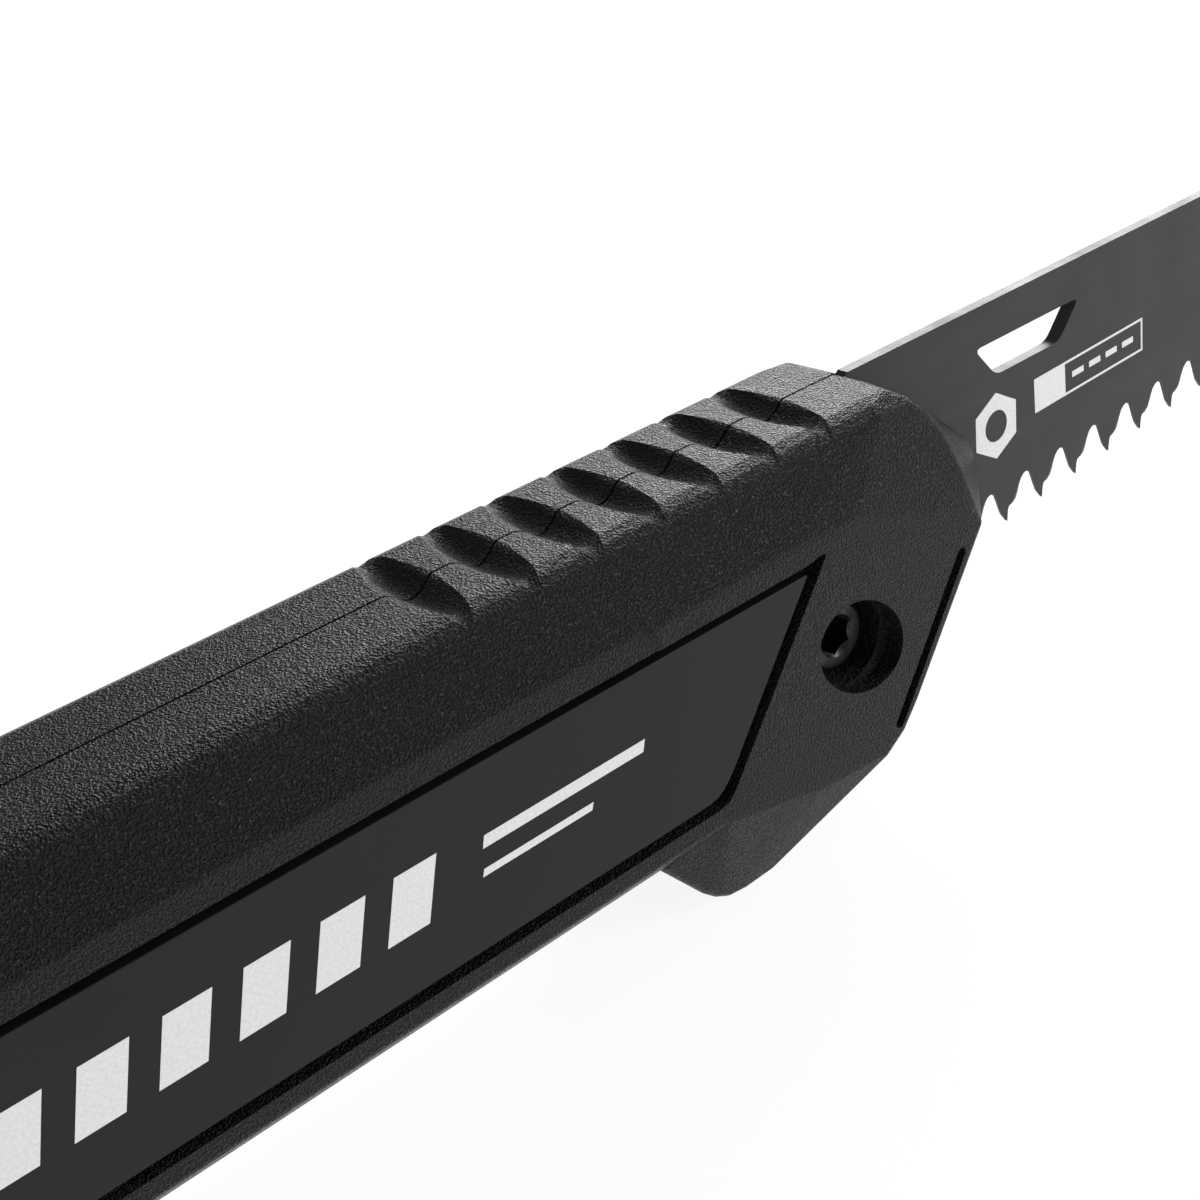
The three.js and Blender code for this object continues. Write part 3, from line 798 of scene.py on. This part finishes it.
def tooth_line(x):
    """Height of the tooth tips, which rise slightly towards the point."""
    return TOOTH_LINE_Z + (x - TOOTH_LINE_X) * TOOTH_LINE_SLOPE


def blade_outline(tooth):
    outline = TANG_UNDERSIDE + FIRST_GULLET
    for i in range(TOOTH_COUNT):
        x = FIRST_TOOTH_X + i * TOOTH_PITCH
        outline += [(x + dx, tooth_line(x + dx) + dz) for dx, dz in tooth]
    last = FIRST_TOOTH_X + TOOTH_COUNT * TOOTH_PITCH + TOOTH_LAND
    outline += [(last, tooth_line(last)), (TIP_X, tooth_line(TIP_X))]
    return outline + POINT_TOP + TANG_TOP


def window_cutter():
    """The window near the spine; its front end is ground at a slant through the thickness."""
    bm = bmesh.new()
    for y, ground in ((-BLADE_HALF - 0.2, 0), (BLADE_HALF + 0.2, WINDOW_GROUND)):
        corners = [
            (34.9, WINDOW_TOP), (54.6 - ground, WINDOW_TOP), (50.6 - ground, WINDOW_BOTTOM),
            (38.5, WINDOW_BOTTOM),
        ]
        for x, z in round_corners(corners, 1.2, 5):
            bm.verts.new((x, y, z))
    bmesh.ops.convex_hull(bm, input=bm.verts)
    bmesh.ops.recalc_face_normals(bm, faces=bm.faces)
    return new_object("window", mesh_from_bmesh("window", bm))


def make_blade():
    """The blade: painted faces, bare steel along the spine, the window's floor, the teeth and the point."""
    holes = [circle(0, 0, BLADE_BORE_RADIUS)] + [circle(x, z, PIN_BORE_RADIUS, 32) for x, z in TANG_PINS]
    layers = [
        (-BLADE_HALF, blade_outline(TOOTH_FACE)),
        (-0.25, blade_outline(TOOTH_EDGE)),
        (BLADE_HALF, blade_outline(TOOTH_BACK)),
    ]
    blade = layered_plate("blade_visual", layers, holes)
    combine(blade, [window_cutter()], "DIFFERENCE")
    tidy(blade, 1e-3, 0.2)
    bm = bmesh.new()
    bm.from_mesh(blade.data)
    for f in bm.faces:
        centre = f.calc_center_median()
        in_window = 34 < centre.x < 56 and 13.8 < centre.z < 18.8
        if abs(f.normal.y) > 0.98:
            f.material_index = 0
        elif f.normal.z > 0.4 and (centre.z > SPINE_Z - 0.5 or in_window):
            f.material_index = 1
        elif centre.x > 29 and (centre.z < tooth_line(centre.x) + 5.8 or centre.x > 157):
            f.material_index = 2
        else:
            f.material_index = 0
    bm.to_mesh(blade.data)
    bm.free()
    blade.data.materials.clear()
    for mat in (PAINT, SPINE_STEEL, TOOTH_STEEL):
        blade.data.materials.append(mat)
    smooth(blade, 25)
    place(blade, "blade")


def turned_outline(outline, degrees, about):
    c, s = math.cos(math.radians(degrees)), math.sin(math.radians(degrees))
    ax, az = about
    return [(ax + (x - ax) * c - (z - az) * s, az + (x - ax) * s + (z - az) * c) for x, z in outline]


STRIP_CORNER = (45.6, 6.4)
STRIP_TILT = 1.3
STRIP_WIDTH, STRIP_HEIGHT, STRIP_LINE = 21.9, 4.5, 0.32
STRIP_BLOCK = 6.0
DASH_COUNT, DASH_FIRST, DASH_PITCH, DASH_LENGTH = 4, 7.4, 3.4, 2.3
DASH_BOTTOM, DASH_TOP = 1.9, 2.7
RING_X, RING_Z, RING_OUTER, RING_INNER = 38.2, 7.6, 4.3, 2.0


def make_blade_marks():
    """A plain boxed strip of dashes and a hexagonal ring on each face, with no lettering."""
    x, z = STRIP_CORNER
    left, right, top = x + STRIP_BLOCK, x + STRIP_WIDTH, z + STRIP_HEIGHT
    box = {
        "block": rectangle(x, z, left, top),
        "bottom": rectangle(left, z, right, z + STRIP_LINE),
        "top": rectangle(left, top - STRIP_LINE, right, top),
        "end": rectangle(right - STRIP_LINE, z + STRIP_LINE, right, top - STRIP_LINE),
    }
    for i in range(DASH_COUNT):
        x0 = x + DASH_FIRST + i * DASH_PITCH
        box[f"dash_{i + 1}"] = rectangle(x0, z + DASH_BOTTOM, x0 + DASH_LENGTH, z + DASH_TOP)
    for side, prefix in ((-1, "blade_right"), (1, "blade_left")):
        y = side * BLADE_HALF
        for part, outline in box.items():
            mark(f"{prefix}_{part}", turned_outline(outline, STRIP_TILT, STRIP_CORNER), y)
        hole = circle(RING_X, RING_Z, RING_INNER, 48)
        mark(f"{prefix}_ring", circle(RING_X, RING_Z, RING_OUTER, 6, 0.5), y, [hole])


# ---------------------------------------------------------------- fasteners
def make_clamp_screw():
    """Socket head cap screw with a rounded head edge, a chamfered socket mouth and a plain shank."""
    profile = [(0, -9.7)] + arc(3.45, -8.9, 0.8, -90, 0, 7)
    profile += [(4.25, -5.0), (4.1, -4.7), (2.5, -4.7), (2.5, 10.8), (2.0, 11.3), (0, 11.3)]
    screw = lathe("blade_clamp_screw_visual", profile, count=96)
    mouth = lathe("mouth", [(0, -9.2), (1.95, -9.2), (2.55, -9.75), (2.55, -10), (0, -10)], count=96)
    combine(screw, [plate("socket", hexagon(4.0, 23), -11, -7.1), mouth], "DIFFERENCE")
    soften(screw, 0.05, 40)
    smooth(screw)
    place(screw, "blade_clamp_screw", BLACK_STEEL)


def make_washer():
    profile = [(2.8, -4.4), (4.45, -4.4), (4.6, -4.25), (4.6, -3.7), (2.8, -3.7), (2.8, -4.4)]
    washer = lathe("blade_clamp_washer_visual", profile)
    smooth(washer)
    place(washer, "blade_clamp_washer", ZINC)


def make_nut():
    """Hexagon nut with turned corners."""
    nut = plate("blade_clamp_nut_visual", hexagon(8.0), 3.7, 7.7)
    cone = [(0, 3.6), (4.3, 3.6), (4.7, 4.1), (4.7, 7.2), (4.05, 7.8), (0, 7.8)]
    combine(nut, [lathe("chamfer", cone)], "INTERSECT")
    combine(nut, [plate("bore", circle(0, 0, 2.8), 3, 9)], "DIFFERENCE")
    soften(nut, 0.08, 40)
    smooth(nut)
    place(nut, "blade_clamp_nut", ZINC)


def make_shell_screw(i, x, z):
    """Screw with a blunt point, a round-edged head and a six-lobed socket."""
    profile = [(0, -6), (0.3, -6), (1.5, -4.2), (1.5, 9.5), (2.9, 9.5), (2.9, 10.4)]
    profile += arc(1.9, 10.4, 1.0, 0, 90, 6) + [(0, 11.4)]
    screw = lathe(f"shell_screw_{i}_visual", profile, x, z, 48)
    star = []
    for k in range(12):
        r = 1.25 if k % 2 == 0 else 0.92
        a = math.pi * k / 6
        star.append((x + r * math.cos(a), z + r * math.sin(a)))
    combine(screw, [plate("star", round_corners(star, 0.25, 3), 10.1, 12)], "DIFFERENCE")
    smooth(screw)
    place(screw, f"shell_screw_{i}", BLACK_STEEL)


def make_eyelet():
    """Thin metal liner of the hanging hole: a rolled flange on the near side, a plain lip on the far side."""
    profile = [(3.5, 12.7)] + arc(3.9, 12.7, 0.4, 180, 90, 4) + [(4.7, 13.1), (4.7, -12.3), (5.6, -12.3)]
    profile += arc(5.6, -12.7, 0.4, 90, -90, 6) + [(4.3, -13.1)]
    profile += arc(3.9, -12.7, 0.4, 270, 180, 4) + [(3.5, 12.7)]
    eyelet = lathe("lanyard_eyelet_visual", profile, EYELET_X, EYELET_Z)
    smooth(eyelet)
    place(eyelet, "lanyard_eyelet", ZINC)


def make_eyelet_washer():
    profile = [(5.0, 12.3), (6.0, 12.3)] + arc(5.6, 12.7, 0.4, 0, 90, 5)
    profile += [(5.2, 13.1), (5.0, 12.9), (5.0, 12.3)]
    washer = lathe("lanyard_eyelet_washer_visual", profile, EYELET_X, EYELET_Z)
    smooth(washer)
    place(washer, "lanyard_eyelet_washer", ZINC)


make_shells()
make_panel(-1, "right_label_panel")
make_panel(1, "left_label_panel")
make_panel_marks()
make_blade()
make_blade_marks()
make_clamp_screw()
make_washer()
make_nut()
for number, (screw_x, screw_z) in enumerate(SCREWS, 1):
    make_shell_screw(number, screw_x, screw_z)
make_eyelet()
make_eyelet_washer()

# Pieces that stay as the CAD model has them: all are closed inside the handle.
INNER_PIECES = [
    "blade_spacer_bush", "tang_pin_front", "tang_pin_rear", "alignment_dowel_front", "alignment_dowel_rear",
]
for name in INNER_PIECES:
    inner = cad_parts[name]
    inner.data.materials.clear()
    inner.data.materials.append(ZINC)


# ---------------------------------------------------------------- floor, light and camera
LIGHT_TARGET = (0, 0, 0.03)
WORLD_STRENGTH = 0.27
FLOOR_GLOW = 0.9
FLOOR_DROP = 0.0005


def make_floor():
    """A plain floor that shows as white."""
    mat, tree, shader = material("pale_floor")
    shader.inputs["Base Color"].default_value = (0.2, 0.2, 0.2, 1)
    shader.inputs["Roughness"].default_value = 0.9
    shader.inputs["Specular IOR Level"].default_value = 0.1
    shader.inputs["Emission Color"].default_value = (1, 1, 1, 1)
    shader.inputs["Emission Strength"].default_value = FLOOR_GLOW
    bm = bmesh.new()
    bmesh.ops.create_grid(bm, x_segments=1, y_segments=1, size=6)
    floor = new_object("floor", mesh_from_bmesh("floor", bm))
    floor.data.materials.append(mat)
    floor.location.z = -FLOOR_DROP


def area_light(name, position, power, width, height):
    """A soft light out of the camera's sight, aimed at the object."""
    data = bpy.data.lights.new(name, "AREA")
    data.shape = "RECTANGLE"
    data.size = width
    data.size_y = height
    data.energy = power
    light = bpy.data.objects.new(name, data)
    bpy.context.scene.collection.objects.link(light)
    light.location = position
    direction = Vector(LIGHT_TARGET) - Vector(position)
    light.rotation_euler = direction.to_track_quat("-Z", "Y").to_euler()
    light.visible_camera = False


def make_view():
    """Plain display of colours, so that the pale floor comes out white."""
    bpy.context.scene.view_settings.view_transform = "Standard"


def make_world():
    world = bpy.data.worlds.new("studio")
    bpy.context.scene.world = world
    world.use_nodes = True
    background = world.node_tree.nodes["Background"]
    background.inputs["Color"].default_value = (1, 1, 1, 1)
    background.inputs["Strength"].default_value = WORLD_STRENGTH


def make_camera():
    """Near view of the nose from behind, above and the right."""
    data = bpy.data.cameras.new("camera")
    data.sensor_width = 36
    data.lens = 53.1
    data.shift_x = -0.0058
    data.shift_y = -0.0128
    data.clip_start = 0.005
    data.clip_end = 50
    camera = bpy.data.objects.new("camera", data)
    bpy.context.scene.collection.objects.link(camera)
    right = Vector((0.756085, -0.639968, -0.137025))
    down = Vector((-0.403085, -0.290400, -0.867865))
    forward = Vector((0.515614, 0.711413, -0.477529))
    turn = Matrix((right, -down, -forward)).transposed()
    eye = row(-114.557, -114.273 - HALF_WIDTH, 99.059)
    camera.matrix_world = Matrix.Translation(eye) @ turn.to_4x4()
    bpy.context.scene.camera = camera


make_floor()
make_view()
make_world()
area_light("far_softbox", (0.88, 0.73, 0.53), 15, 0.7, 0.7)
area_light("low_softbox", (0.95, 0.95, 0.22), 1.8, 0.9, 0.26)
area_light("near_softbox", (0.8, -0.85, 0.47), 8, 0.5, 0.5)
make_camera()
